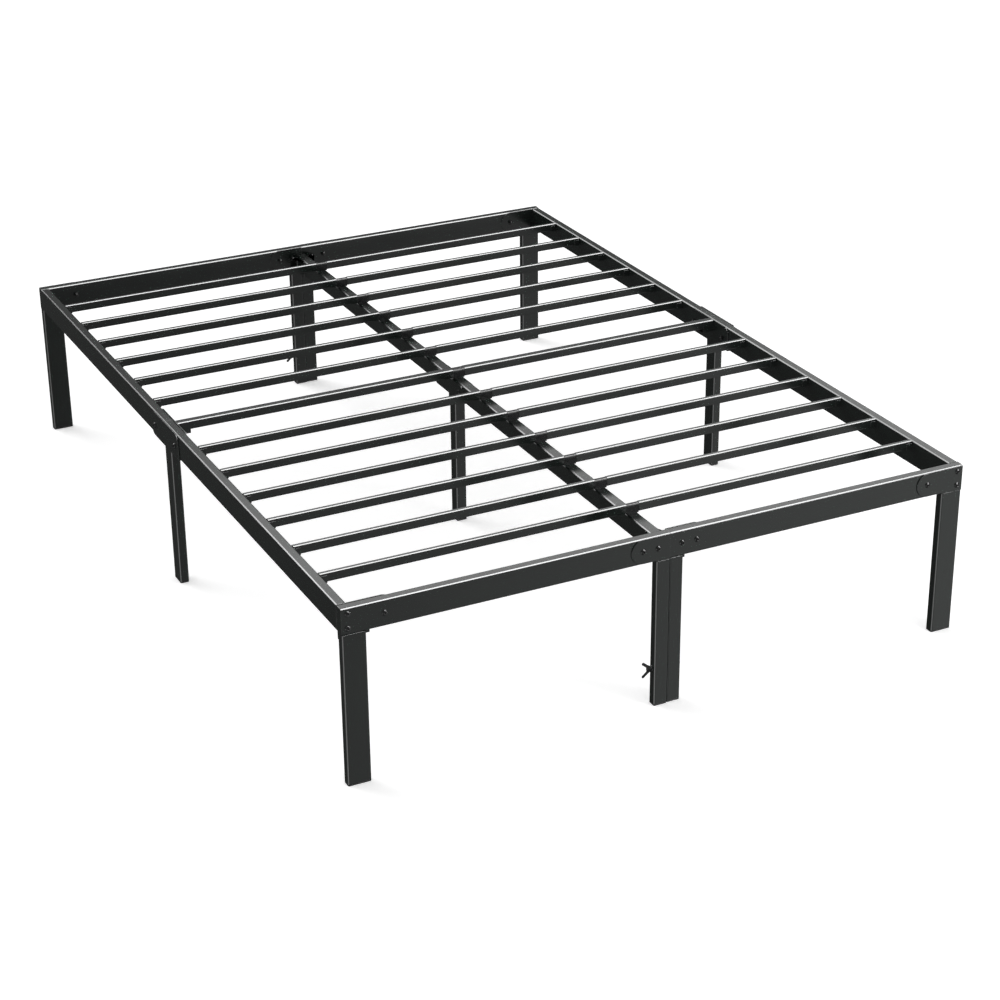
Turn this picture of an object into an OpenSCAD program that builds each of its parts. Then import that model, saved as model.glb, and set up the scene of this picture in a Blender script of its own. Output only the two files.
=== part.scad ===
// Bolt-together metal platform bed frame for a full-size mattress.
// X runs across the bed, Y along it with the foot at -Y, Z up.
// The origin is on the floor under the middle of the frame.
// Turning the frame half a turn about Z puts the foot end onto the head end.

/* [Overall] */
// Width over the side rails
bed_w = 1372; // [900:1:2000]
// Length over the foot and head rails
bed_l = 1905; // [1550:1:2300]
// Height of the slats and rails above the floor
bed_h = 375; // [220:1:500]

/* [Rails] */
// Thickness of the foot, head and side rails
rail_t = 20; // [15:0.5:40]
// Height of the foot, head and side rails
rail_h = 55; // [45:1:80]
// Wall of the rail and leg tubes
tube_wall = 1.5; // [1:0.1:2.5]
// Radius on the outside corners of every tube
tube_r = 2; // [1.8:0.1:2.6]
// Width of the centre rail
centre_rail_w = 25; // [20:1:40]
// Height of the centre rail
centre_rail_h = 40; // [30:1:60]
// Depth of the centre rail below the slat tops
centre_rail_drop = 22; // [21:0.5:30]
// Distance that the mid-length joints of the rails lie towards the head
splice_shift = 14.4; // [10:0.1:18]

/* [Slats] */
// Number of slats in each half of the bed
slats_per_half = 6; // [4:1:7]
// Distance from the middle of the bed to its nearest slat
slat_first = 144.5; // [110:0.5:160]
// Distance from the foot and head rails' inner faces to the nearest slat
slat_end_gap = 132.5; // [60:0.5:200]
// Thickness of a slat along the bed
slat_t = 10; // [8:0.5:16]
// Height of a slat
slat_h = 20; // [16:0.5:21]
// Wall of the slat tubes
slat_wall = 1.2; // [1:0.1:1.6]
// Thickness of the cross bar in the middle of the bed
mid_bar_t = 18; // [14:0.5:24]
// Length of the hooks that hold the slats on the side rails
hook_l = 15; // [10:1:25]
// Length of the cleats that hold the middle cross bar
cleat_l = 28; // [20:1:40]
// Length of the slat joiners over the centre rail
joiner_l = 28; // [26:1:40]
// Wall of the slat joiners
joiner_wall = 2.5; // [2:0.1:3.5]

/* [Legs] */
// Width of a corner leg across the bed
corner_leg_w = 48; // [35:1:60]
// Distance from the side rail's outer face in to the corner leg's
corner_leg_inset = 0.8; // [0:0.1:2]
// Width of each of the two legs that stand side by side
pair_leg_w = 30; // [22:1:40]
// Length of a side leg along the bed
side_leg_l = 40; // [30:1:50]
// Length of the centre leg along the bed
centre_leg_l = 30; // [20:1:40]
// Distance that the legs at mid-length lie towards the head
mid_leg_shift = 2; // [0:0.5:5]
// Height of the foot caps' flange
cap_h = 3; // [2:0.5:8]
// Depth of the foot caps' plug
cap_plug = 15; // [8:1:30]

/* [Plates and brackets] */
// Thickness of the leg plates and the rail brackets
plate_t = 2; // [1.5:0.1:3]
// Distance from the outer face of the side rail to the end bolt of a corner plate
corner_plate_bolt = 86; // [70:1:120]
// Distance from the middle of the bed to the end bolt of a centre plate
centre_plate_bolt = 60; // [52:1:90]
// Distance from the middle of the bed to the bolts of the centre rail's end bracket
bracket_bolt = 27; // [24:0.5:30]
// Depth of the leg plates' bolts below the top of the rail
plate_bolt_drop = 27; // [24:0.5:30]
// Distance that the outer leg plates stop below the top of the rail
outer_plate_drop = 1; // [0.5:0.1:5]
// Lap of the inner leg plates over the legs
plate_lap = 16; // [10:1:30]
// Distance that an inner plate's lap runs past the leg
inner_lap_margin = 15; // [5:1:18]
// Distance between the two bolts of a corner
corner_bolt_gap = 30; // [20:1:34]
// Distance from the outer face of the side rail to the corner bolts
corner_bolt_in = 13; // [8:0.5:14]
// Length of a side rail's bracket on the foot side of the rail joint
side_saddle_foot = 89.4; // [75:0.1:120]
// Length of a side rail's bracket on the head side of the rail joint
side_saddle_head = 87.2; // [75:0.1:120]
// Length of the centre rail's bracket on each side of the rail joint
centre_saddle_half = 75; // [60:1:110]
// Distance from a bracket's end to its bolt
saddle_bolt_in = 25; // [20:0.5:35]
// Length of the brackets that hold the ends of the centre rail
end_bracket_l = 50; // [30:1:80]

/* [Fasteners] */
// Radius of the bolts' shanks
bolt_r = 3; // [2.5:0.1:3.5]
// Radial clearance of the bolts in their holes
bolt_clear = 0.25; // [0.1:0.05:0.5]
// Radial clearance of a bolt in its thread
thread_clear = 0.05; // [0.02:0.01:0.1]
// Radius of the bolt heads
head_r = 6; // [5:0.1:7]
// Height of the bolt heads
head_h = 3.4; // [2.5:0.1:4.5]
// Width across the flats of the socket in a bolt head
socket_af = 4; // [3:0.5:5]
// Depth of the socket in a bolt head
socket_depth = 2; // [1.5:0.1:2.2]
// Width across the flats of the nuts
nut_af = 10; // [8:0.5:11]
// Height of the nuts
nut_h = 5; // [4:0.5:6]
// Thickness of the threaded plates in the ends of the side rails
nut_plate_t = 4; // [3:0.5:8]
// Height of the wing bolts above the floor
wing_z = 80; // [40:1:150]
// Length that the wing bolts stand out of the leg
wing_bolt_out = 11; // [10:0.5:20]
// Thickness of the washers under the wing nuts
washer_t = 1.6; // [1:0.1:2]
// Radius of the washers under the wing nuts
washer_r = 6; // [5.5:0.1:8]
// Radius of a wing nut's base
hub_r = 6; // [5:0.1:7]
// Height of a wing nut's hub
hub_h = 8; // [6:0.5:10]
// Distance between the tips of a wing nut
wing_span = 35; // [26:0.5:40]
// Height of a wing nut over its wings
wing_h = 20.5; // [15:0.5:24]
// Thickness of a wing
wing_t = 2.6; // [2:0.1:3.5]

/* [Hidden] */
$fn = 32;

half_w = bed_w / 2;
half_l = bed_l / 2;
in_x = half_w - rail_t;                       // inner face of a side rail
in_y = half_l - rail_t;                       // inner face of the foot rail
rail_z = bed_h - rail_h;                      // underside of the rails
rail_mid_z = bed_h - rail_h / 2;

centre_top = bed_h - centre_rail_drop;
centre_low = centre_top - centre_rail_h;
centre_mid_z = centre_top - centre_rail_h / 2;

slat_z = bed_h - slat_h;                      // underside of the slats
slat_pitch = (in_y - slat_end_gap - slat_first) / (slats_per_half - 1);
slat_ys = [for (i = [0 : slats_per_half - 1]) slat_first + i * slat_pitch];
slat_rows = concat([for (i = [slats_per_half - 1 : -1 : 0]) slat_ys[i]], -slat_ys);

plate_bolt_z = bed_h - plate_bolt_drop;
corner_bolt_x = half_w - corner_bolt_in;
corner_bolt_zs = [plate_bolt_z - corner_bolt_gap / 2, plate_bolt_z + corner_bolt_gap / 2];
corner_plate_x = half_w - corner_plate_bolt;
corner_leg_x = half_w - corner_leg_inset - corner_leg_w / 2;
in_plate_y = in_y - plate_t;                  // inner face of the inner plates
leg_y = half_l - rail_t / 2;                  // middle of the legs under the foot rail
tail_share = 0.7;                             // share of a leg plate's tail that is straight

saddle_t = plate_t;
saddle_lead = 12;                             // length of the bevel at a bracket's foot end
saddle_round = 24;                            // radius of a bracket's head end
side_saddle_z = rail_z - saddle_t;
side_bolt_up = 23;                            // height of the side brackets' bolts over the rails' undersides
side_bolt_z = rail_z + side_bolt_up;
side_bolt_ys = [splice_shift - side_saddle_foot + saddle_bolt_in,
                splice_shift + side_saddle_head - saddle_bolt_in];
centre_saddle_z = centre_low - saddle_t;
centre_rim_drop = 3;                          // from the centre rail's top down to its bracket's rim
centre_saddle_top = centre_top - centre_rim_drop;
centre_bolt_drop = 2;                         // from the centre rail's middle down to its bolts
centre_bolt_z = centre_mid_z - centre_bolt_drop;
centre_bolt_ys = [splice_shift - centre_saddle_half + saddle_bolt_in,
                  splice_shift + centre_saddle_half - saddle_bolt_in];
centre_cheek_x = centre_rail_w / 2 + saddle_t;
centre_round = 13;                            // radius of the centre bracket's head end
centre_lap = 9;                               // lap of the centre bracket over its leg
flange_margin = 9;                            // from a flange's bolt to the flange's outer edge
flange_out = bracket_bolt + flange_margin;

joiner_r = 1.8;
joiner_drop = 0.5;                            // from the slats' tops down to the joiners' tops
joiner_roof = 1.2 * joiner_wall;
peg_r = 4;
peg_depth = 4.5;
peg_clear = 0.1;
// Gap between the caps of two legs that stand side by side
cap_gap = 0.2;
spigot_l = 14;
spigot_clear = 0.15;
hook_t = 1.5;
hook_drop = 5.5;                              // distance from the slat tops down to the hooks' rim
skirt = 6;                                    // depth of the cleats' sides below their floor

wing_face = pair_leg_w;                       // outer face of the two legs side by side
wing_bolt_tip = wing_face + wing_bolt_out;
ear_r = 3.2;
wing_lift = 1.2;                              // gap under the wings of a wing nut
hub_taper = 1.2;
wing_root = 1;                                // from a wing nut's bore to its wings' inner edges
hub_rim = 0.4;                                // from the top of the hub down to its wings

dark = [0.13, 0.135, 0.14];
black = [0.06, 0.06, 0.065];
grey = [0.5, 0.5, 0.5];
steel = [0.35, 0.35, 0.36];

// ---- shapes shared by several pieces ----

// A rectangle with round corners, centred on the origin.
module round_rect(w, h, r) {
    square([w - 2 * r, h], center = true);
    square([w, h - 2 * r], center = true);
    for (x = [-1, 1], y = [-1, 1])
        translate([x * (w / 2 - r), y * (h / 2 - r)]) circle(r);
}

// The section of a rectangular tube.
module tube_section(w, h, wall, r) {
    difference() {
        round_rect(w, h, r);
        round_rect(w - 2 * wall, h - 2 * wall, max(r - wall, 0.3));
    }
}

// Stands a flat shape up across the bed: its Y becomes Z, and it is extruded along +X.
module along_x(length) {
    rotate([90, 0, 90]) linear_extrude(length) children();
}

// Stands a flat shape up along the bed: its Y becomes Z, and it is extruded along +Y.
module along_y(length) {
    rotate([90, 0, 180]) linear_extrude(length) children();
}

// Draws its children at both ends of the bed, the second turned half a turn.
module half_turn() {
    rotate([0, 0, 180]) children();
}

module both_ends() {
    children();
    half_turn() children();
}

module mirror_x() {
    mirror([1, 0, 0]) children();
}

// A hole or shank along +Y from y0, in the way that the foot rail's bolts run.
module rod_y(x, y0, z, r, length) {
    translate([x, y0, z]) rotate([-90, 0, 0]) cylinder(r = r, h = length);
}

// The same along +X from x0.
module rod_x(x0, y, z, r, length) {
    translate([x0, y, z]) rotate([0, 90, 0]) cylinder(r = r, h = length);
}

// A domed bolt with a hexagon socket: its head lies above z = 0, and its shank runs down.
module dome_bolt(length) {
    dome_r = (head_r * head_r + head_h * head_h) / (2 * head_h);
    difference() {
        union() {
            intersection() {
                translate([0, 0, head_h - dome_r]) sphere(dome_r);
                cylinder(r = head_r, h = head_h);
            }
            translate([0, 0, -length]) cylinder(r = bolt_r, h = length + head_h / 2);
        }
        translate([0, 0, head_h - socket_depth])
            cylinder(r = socket_af / 2 / cos(30), h = socket_depth + 1, $fn = 6);
    }
}

// A hexagon nut above z = 0.
module nut() {
    difference() {
        cylinder(r = nut_af / 2 / cos(30), h = nut_h, $fn = 6);
        translate([0, 0, -1]) cylinder(r = bolt_r + thread_clear, h = nut_h + 2);
    }
}

// ---- foot and head rails ----

// Bolt holes of one half of the foot rail, right half when side = 1.
module foot_rail_holes(side) {
    xs = [bracket_bolt, centre_plate_bolt, corner_plate_x];
    for (x = xs)
        rod_y(side * x, -half_l - 1, plate_bolt_z, bolt_r + bolt_clear, rail_t + 2);
    for (z = corner_bolt_zs)
        rod_y(side * corner_bolt_x, -half_l - 1, z, bolt_r + bolt_clear, rail_t + 2);
}

// One half of the foot rail: a tube with its outer end closed by a welded cap.
module foot_rail(side) {
    x0 = side > 0 ? 0 : -half_w;
    cap_x = side > 0 ? half_w - tube_wall : -half_w;
    difference() {
        union() {
            translate([x0, -half_l + rail_t / 2, rail_mid_z])
                along_x(half_w) tube_section(rail_t, rail_h, tube_wall, tube_r);
            translate([cap_x, -half_l + rail_t / 2, rail_mid_z])
                along_x(tube_wall) round_rect(rail_t, rail_h, tube_r);
        }
        foot_rail_holes(side);
    }
}

module foot_rail_left() { color(dark) foot_rail(-1); }
module foot_rail_right() { color(dark) foot_rail(1); }
module head_rail_left() { color(dark) half_turn() foot_rail(1); }
module head_rail_right() { color(dark) half_turn() foot_rail(-1); }

// ---- side rails ----

// A length of the left side rail from y0 to y1, with the holes of the bracket at its middle.
// The right side rail is the same tube, mirrored.
module side_rail(y0, y1) {
    difference() {
        translate([-half_w + rail_t / 2, y0, rail_mid_z])
            along_y(y1 - y0) tube_section(rail_t, rail_h, tube_wall, tube_r);
        for (y = side_bolt_ys)
            rod_x(-half_w - 1, y, side_bolt_z, bolt_r + bolt_clear, rail_t + 2);
    }
}

// At the foot's left and the head's right corner an inner leg plate lies between the rails.
module side_rail_left_foot() { color(dark) side_rail(-in_plate_y, splice_shift); }
module side_rail_left_head() { color(dark) side_rail(splice_shift, in_y); }
module side_rail_right_foot() { color(dark) mirror_x() side_rail(-in_y, splice_shift); }
module side_rail_right_head() { color(dark) mirror_x() side_rail(splice_shift, in_plate_y); }

// Threaded plates welded into the ends of the side rails, which the corner bolts screw into.
module corner_nut_plate(end_y) {
    inner_w = rail_t - 2 * tube_wall;
    inner_h = rail_h - 2 * tube_wall;
    difference() {
        translate([-half_w + rail_t / 2, end_y, rail_mid_z])
            along_y(nut_plate_t) round_rect(inner_w, inner_h, max(tube_r - tube_wall, 0.3));
        for (z = corner_bolt_zs)
            rod_y(-corner_bolt_x, end_y - 1, z, bolt_r + thread_clear, nut_plate_t + 2);
    }
}

module corner_nut_plates() {
    color(steel) both_ends() {
        corner_nut_plate(-in_plate_y);
        mirror_x() corner_nut_plate(-in_y);
    }
}

// ---- centre rail ----

module centre_rail(y0, y1) {
    difference() {
        translate([0, y0, centre_mid_z])
            along_y(y1 - y0) tube_section(centre_rail_w, centre_rail_h, tube_wall, tube_r);
        for (y = centre_bolt_ys)
            rod_x(-centre_rail_w, y, centre_bolt_z, bolt_r + bolt_clear, 2 * centre_rail_w);
        for (y = slat_rows)
            translate([0, y, centre_mid_z]) cylinder(r = peg_r + peg_clear, h = centre_rail_h);
    }
}

module centre_rail_foot() { color(dark) centre_rail(-in_plate_y, splice_shift); }
module centre_rail_head() { color(dark) centre_rail(splice_shift, in_plate_y); }

// ---- legs ----

// An upright tube with its underside at the foot cap's flange.
module leg_tube(x, y, w, l, top) {
    translate([x, y, cap_h])
        linear_extrude(top - cap_h) tube_section(w, l, tube_wall, tube_r);
}

// The right leg of each half rail, seen from outside, is flush with its outer plate.
corner_leg_spots = [[-corner_leg_x, -leg_y], [corner_leg_x, -leg_y - plate_t]];
pair_leg_spots = [[-pair_leg_w / 2, -leg_y - plate_t], [pair_leg_w / 2, -leg_y]];

module corner_leg(i) {
    spot = corner_leg_spots[i];
    leg_tube(spot[0], spot[1], corner_leg_w, rail_t, rail_z);
}

// One of the two legs side by side, drilled for the wing bolt.
module pair_leg(i) {
    spot = pair_leg_spots[i];
    difference() {
        leg_tube(spot[0], spot[1], pair_leg_w, rail_t, rail_z);
        rod_x(-pair_leg_w - 1, -leg_y, wing_z, bolt_r + bolt_clear, 2 * pair_leg_w + 2);
    }
}

module side_leg(side) {
    leg_tube(side * (half_w - rail_t / 2), mid_leg_shift, rail_t, side_leg_l, side_saddle_z);
}

module corner_leg_foot_left() { color(dark) corner_leg(0); }
module corner_leg_foot_right() { color(dark) corner_leg(1); }
module corner_leg_head_left() { color(dark) half_turn() corner_leg(1); }
module corner_leg_head_right() { color(dark) half_turn() corner_leg(0); }
module pair_leg_foot_left() { color(dark) pair_leg(0); }
module pair_leg_foot_right() { color(dark) pair_leg(1); }
module pair_leg_head_left() { color(dark) half_turn() pair_leg(1); }
module pair_leg_head_right() { color(dark) half_turn() pair_leg(0); }
module side_leg_left() { color(dark) side_leg(-1); }
module side_leg_right() { color(dark) side_leg(1); }
module centre_leg() {
    color(dark)
        leg_tube(0, mid_leg_shift, centre_rail_w, centre_leg_l, centre_saddle_z);
}

// A moulded cap in the end of a leg tube: a flange on the floor and a plug inside the tube.
module foot_cap(x, y, w, l) {
    translate([x, y, 0]) {
        linear_extrude(cap_h) round_rect(w, l, tube_r);
        translate([0, 0, cap_h])
            linear_extrude(cap_plug)
                round_rect(w - 2 * tube_wall, l - 2 * tube_wall, max(tube_r - tube_wall, 0.3));
    }
}

module foot_caps() {
    color(black) {
        both_ends() {
            for (spot = corner_leg_spots) foot_cap(spot[0], spot[1], corner_leg_w, rail_t);
            for (spot = pair_leg_spots)
                foot_cap(spot[0], spot[1], pair_leg_w - cap_gap, rail_t);
        }
        for (side = [-1, 1])
            foot_cap(side * (half_w - rail_t / 2), mid_leg_shift, rail_t, side_leg_l);
        foot_cap(0, mid_leg_shift, centre_rail_w, centre_leg_l);
    }
}

// ---- leg plates ----

// A leg plate's outline in X and Z. It runs from the leg's far side, x_far, to a round end
// about the bolt at x_bolt. Its tail, which joins the leg, reaches in to tail_x and down to low.
module leg_plate_outline(x_far, tail_x, x_bolt, drop, low) {
    r = plate_bolt_drop - drop;
    way = x_bolt > x_far ? 1 : -1;
    translate([x_bolt, plate_bolt_z]) circle(r);
    polygon([
        [x_far, low],
        [tail_x, low],
        [tail_x, low + (plate_bolt_z - r - low) * tail_share],
        [tail_x + way, plate_bolt_z - r],
        [x_bolt, plate_bolt_z - r],
        [x_bolt, plate_bolt_z + r],
        [x_far, plate_bolt_z + r]
    ]);
}

// A leg plate with its holes. An outer plate stands on the leg, flush with the leg's outer face.
// An inner plate laps over the leg's inner face, and its tail is wider than the leg.
module leg_plate(outer, x_far, x_leg, x_bolt, holes) {
    y0 = outer ? -half_l - plate_t : -in_y;
    way = x_bolt > x_far ? 1 : -1;
    drop = outer ? outer_plate_drop : 0;
    tail_x = outer ? x_leg : x_leg + way * inner_lap_margin;
    low = outer ? rail_z : rail_z - plate_lap;
    difference() {
        translate([0, y0 + plate_t, 0]) rotate([90, 0, 0])
            linear_extrude(plate_t) leg_plate_outline(x_far, tail_x, x_bolt, drop, low);
        for (h = holes)
            rod_y(h[0], y0 - 1, h[1], bolt_r + bolt_clear, plate_t + 2);
    }
}

module corner_plate(outer, side) {
    leg_plate(
        outer, side * (half_w - corner_leg_inset), side * (corner_leg_x - corner_leg_w / 2),
        side * corner_plate_x,
        [[side * corner_plate_x, plate_bolt_z],
         [side * corner_bolt_x, corner_bolt_zs[0]], [side * corner_bolt_x, corner_bolt_zs[1]]]);
}

module centre_plate(outer, side) {
    leg_plate(
        outer, 0, side * pair_leg_w, side * centre_plate_bolt,
        [[side * centre_plate_bolt, plate_bolt_z], [side * bracket_bolt, plate_bolt_z]]);
}

// The right end of each half rail, seen from outside, has its plate outside, the left end inside.
module corner_plates_outer() { color(dark) both_ends() corner_plate(true, 1); }
module corner_plates_inner() { color(dark) both_ends() corner_plate(false, -1); }
module centre_plates_outer() { color(dark) both_ends() centre_plate(true, -1); }
module centre_plates_inner() { color(dark) both_ends() centre_plate(false, 1); }

// ---- brackets at the rail joints ----

// The cheek of a rail bracket in Y and Z, from its bevelled foot end y0 to its round head end y1.
module cheek_outline(y0, y1, z0, z1, round_end) {
    for (z = [z0 + round_end, z1 - round_end])
        translate([y1 - round_end, z]) circle(round_end);
    polygon([
        [y0, z0],
        [y1 - round_end, z0],
        [y1, z0 + round_end],
        [y1, z1 - round_end],
        [y1 - round_end, z1],
        [y0 + saddle_lead, z1],
        [y0, z1 - saddle_lead]
    ]);
}

// The bracket under the left side rail's joint: two cheeks and a floor, with two bolt holes.
module side_saddle() {
    y0 = splice_shift - side_saddle_foot;
    y1 = splice_shift + side_saddle_head;
    difference() {
        union() {
            for (x = [-half_w - saddle_t, -in_x])
                translate([x, 0, 0])
                    along_x(saddle_t) cheek_outline(y0, y1, side_saddle_z, bed_h, saddle_round);
            translate([-half_w - saddle_t, y0, side_saddle_z])
                cube([rail_t + 2 * saddle_t, y1 - y0 - saddle_round, saddle_t]);
        }
        for (y = side_bolt_ys)
            rod_x(-half_w - saddle_t - 1, y, side_bolt_z, bolt_r + bolt_clear,
                  rail_t + 2 * saddle_t + 2);
    }
}

module rail_splice_left() { color(dark) side_saddle(); }
module rail_splice_right() { color(dark) mirror_x() side_saddle(); }

// The bracket under the centre rail's joint, which also laps over the sides of the centre leg.
module rail_splice_centre() {
    y0 = splice_shift - centre_saddle_half;
    y1 = splice_shift + centre_saddle_half;
    color(dark) difference() {
        union() {
            for (x = [-centre_cheek_x, centre_rail_w / 2])
                translate([x, 0, 0]) {
                    along_x(saddle_t)
                        cheek_outline(y0, y1, centre_saddle_z, centre_saddle_top, centre_round);
                    translate([0, mid_leg_shift - centre_leg_l / 2, centre_saddle_z - centre_lap])
                        cube([saddle_t, centre_leg_l, centre_lap + saddle_t]);
                }
            translate([-centre_cheek_x, y0, centre_saddle_z])
                cube([2 * centre_cheek_x, y1 - y0 - centre_round, saddle_t]);
        }
        for (y = centre_bolt_ys)
            rod_x(-centre_cheek_x - 1, y, centre_bolt_z, bolt_r + bolt_clear,
                  2 * centre_cheek_x + 2);
    }
}

// The bracket that carries one end of the centre rail. Its right flange lies on the inner leg
// plate and its left flange on the rail, so the two are a plate's thickness apart.
module end_bracket() {
    z0 = centre_saddle_z;
    h = centre_saddle_top - z0;
    difference() {
        union() {
            for (x = [-centre_cheek_x, centre_rail_w / 2])
                translate([x, -in_plate_y, z0]) cube([saddle_t, end_bracket_l, h]);
            translate([-centre_cheek_x, -in_plate_y, z0])
                cube([2 * centre_cheek_x, end_bracket_l, saddle_t]);
            translate([-flange_out, -in_y, rail_z])
                cube([flange_out - centre_rail_w / 2, saddle_t, centre_saddle_top - rail_z]);
            translate([-centre_cheek_x, -in_y, z0])
                cube([saddle_t, saddle_t + 1, h]);
            translate([centre_rail_w / 2, -in_plate_y, rail_z])
                cube([flange_out - centre_rail_w / 2, saddle_t, centre_saddle_top - rail_z]);
        }
        for (x = [-bracket_bolt, bracket_bolt])
            rod_y(x, -in_y - 1, plate_bolt_z, bolt_r + bolt_clear, 2 * plate_t + 2);
    }
}

module end_bracket_foot() { color(dark) end_bracket(); }
module end_bracket_head() { color(dark) half_turn() end_bracket(); }

// ---- slats and middle cross bar ----

// A left and a right slat on one line.
module slat_pair(y) {
    length = in_x - joiner_l / 2;
    for (x = [-in_x, joiner_l / 2])
        translate([x, y, bed_h - slat_h / 2])
            along_x(length) tube_section(slat_t, slat_h, slat_wall, tube_r);
}

module slat(number) { color(dark) slat_pair(slat_rows[number - 1]); }

module mid_bar(side) {
    x0 = side > 0 ? joiner_l / 2 : -in_x + saddle_t;
    translate([x0, 0, bed_h - slat_h / 2])
        along_x(in_x - saddle_t - joiner_l / 2)
            tube_section(mid_bar_t, slat_h, tube_wall, tube_r);
}

module mid_bar_left() { color(dark) mid_bar(-1); }
module mid_bar_right() { color(dark) mid_bar(1); }

// A moulded bridge over the centre rail, with a spigot in each slat's end and a peg in the rail.
module joiner(y, t, wall, peg) {
    top = bed_h - joiner_drop;
    inner_t = t - 2 * wall - 2 * spigot_clear;
    inner_h = slat_h - 2 * wall - 2 * spigot_clear;
    translate([0, y, 0]) {
        difference() {
            translate([-joiner_l / 2, 0, (top + centre_top) / 2])
                along_x(joiner_l) round_rect(t, top - centre_top, joiner_r);
            translate([-joiner_l / 2 + joiner_wall, -t, centre_top + joiner_wall])
                cube([joiner_l - 2 * joiner_wall, 2 * t, top - centre_top - joiner_wall - joiner_roof]);
        }
        for (x = [-joiner_l / 2 - spigot_l, joiner_l / 2])
            translate([x, 0, bed_h - slat_h / 2])
                along_x(spigot_l) round_rect(inner_t, inner_h, tube_r - wall);
        if (peg)
            translate([0, 0, centre_top - peg_depth]) cylinder(r = peg_r, h = peg_depth + 1);
    }
}

module slat_joiners() {
    color(grey) for (y = slat_rows) joiner(y, slat_t, slat_wall, true);
}

module mid_bar_joiner() { color(black) joiner(0, mid_bar_t, tube_wall, false); }

// A bent hook that holds a bar's end: a floor under the bar and a cheek at each side of it.
// Its back is at x = 0 and it reaches out to x = length.
module hook(y, t, length, wall, rim_drop, skirt_h) {
    floor_z = slat_z - wall;
    translate([0, y, 0]) {
        translate([0, -t / 2 - wall, floor_z]) cube([length, t + 2 * wall, wall]);
        for (side = [-1, 1])
            translate([0, side * (t + wall) / 2 - wall / 2, floor_z - skirt_h])
                cube([length, wall, bed_h - rim_drop - floor_z + skirt_h]);
    }
}

module slat_hooks() {
    for (y = slat_rows)
        translate([-in_x, 0, 0]) hook(y, slat_t, hook_l, hook_t, hook_drop, 0);
}

module slat_hooks_left() { color(dark) slat_hooks(); }
module slat_hooks_right() { color(dark) mirror_x() slat_hooks(); }

module mid_bar_cleats() {
    color(dark)
        for (side = [0, 1])
            mirror([side, 0, 0])
                translate([-in_x + saddle_t, 0, 0])
                    hook(0, mid_bar_t, cleat_l, hook_t, hook_t, skirt);
}

// ---- bolts and nuts ----

// A bolt of the foot rail at (x, z): the head's face is at y0, and the shank runs towards the head.
module foot_bolt(x, y0, z, length) {
    translate([x, y0, z]) rotate([90, 0, 0]) dome_bolt(length);
}

module foot_nut(x, y0, z) {
    translate([x, y0, z]) rotate([-90, 0, 0]) nut();
}

// Where the bolts that run through the foot rail stand: [x, head's face, nut's face].
foot_bolts = [
    [-corner_plate_x, -half_l, -in_plate_y],
    [-centre_plate_bolt, -half_l - plate_t, -in_y],
    [-bracket_bolt, -half_l - plate_t, -in_plate_y],
    [bracket_bolt, -half_l, -in_plate_y + plate_t],
    [centre_plate_bolt, -half_l, -in_plate_y],
    [corner_plate_x, -half_l - plate_t, -in_y]
];
foot_bolt_l = rail_t + 2 * plate_t + nut_h;
corner_bolt_l = rail_t + plate_t + nut_plate_t + 2;

// The bolts of the two brackets at the side rails' joints and the one at the centre rail's.
side_bolt_l = rail_t + 2 * saddle_t + nut_h + 1;
centre_bolt_l = 2 * centre_cheek_x + nut_h + 1;

module rail_bolts() {
    color(black) {
        both_ends() {
            for (b = foot_bolts) foot_bolt(b[0], b[1], plate_bolt_z, foot_bolt_l);
            for (z = corner_bolt_zs) {
                foot_bolt(-corner_bolt_x, -half_l, z, corner_bolt_l);
                foot_bolt(corner_bolt_x, -half_l - plate_t, z, corner_bolt_l);
            }
        }
        for (y = side_bolt_ys, side = [0, 1])
            mirror([side, 0, 0])
                translate([-half_w - saddle_t, y, side_bolt_z])
                    rotate([0, -90, 0]) dome_bolt(side_bolt_l);
        for (y = centre_bolt_ys)
            translate([-centre_cheek_x, y, centre_bolt_z])
                rotate([0, -90, 0]) dome_bolt(centre_bolt_l);
    }
}

module rail_nuts() {
    color(black) {
        both_ends()
            for (b = foot_bolts) foot_nut(b[0], b[2], plate_bolt_z);
        for (y = side_bolt_ys, side = [0, 1])
            mirror([side, 0, 0])
                translate([-in_x + saddle_t, y, side_bolt_z]) rotate([0, 90, 0]) nut();
        for (y = centre_bolt_ys)
            translate([centre_cheek_x, y, centre_bolt_z]) rotate([0, 90, 0]) nut();
    }
}

// ---- wing bolts ----

// The bolt that clamps the two legs at the foot: its head is on the right, its tip on the left.
module wing_bolt() {
    translate([wing_face, -leg_y, wing_z])
        rotate([0, 90, 0]) dome_bolt(wing_face + wing_bolt_tip);
}

module wing_bolts() {
    color(black) {
        wing_bolt();
        wing_head_place() wing_bolt();
    }
}

module wing_washer() {
    translate([-wing_face - washer_t, -leg_y, wing_z])
        rotate([0, 90, 0])
            difference() {
                cylinder(r = washer_r, h = washer_t);
                translate([0, 0, -1]) cylinder(r = bolt_r + thread_clear, h = washer_t + 2);
            }
}

// One wing of the nut in a plane through its axis: out from the hub to a round ear.
module wing_outline() {
    ear_x = wing_span / 2 - ear_r;
    ear_y = wing_h - ear_r;
    translate([ear_x, ear_y]) circle(ear_r);
    polygon([
        [bolt_r + wing_root, wing_lift],
        [hub_r, wing_lift],
        [ear_x + ear_r * cos(30), ear_y - ear_r * sin(30)],
        [ear_x - ear_r * cos(30), ear_y + ear_r * sin(30)],
        [bolt_r + wing_root, hub_h - hub_rim]
    ]);
}

// A wing nut above z = 0, with its wings along X.
module wing_nut() {
    difference() {
        union() {
            cylinder(r1 = hub_r, r2 = hub_r - hub_taper, h = hub_h);
            for (a = [0, 180])
                rotate([90, 0, a])
                    translate([0, 0, -wing_t / 2]) linear_extrude(wing_t) wing_outline();
        }
        translate([0, 0, -1]) cylinder(r = bolt_r + thread_clear, h = hub_h + 2);
    }
}

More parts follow.
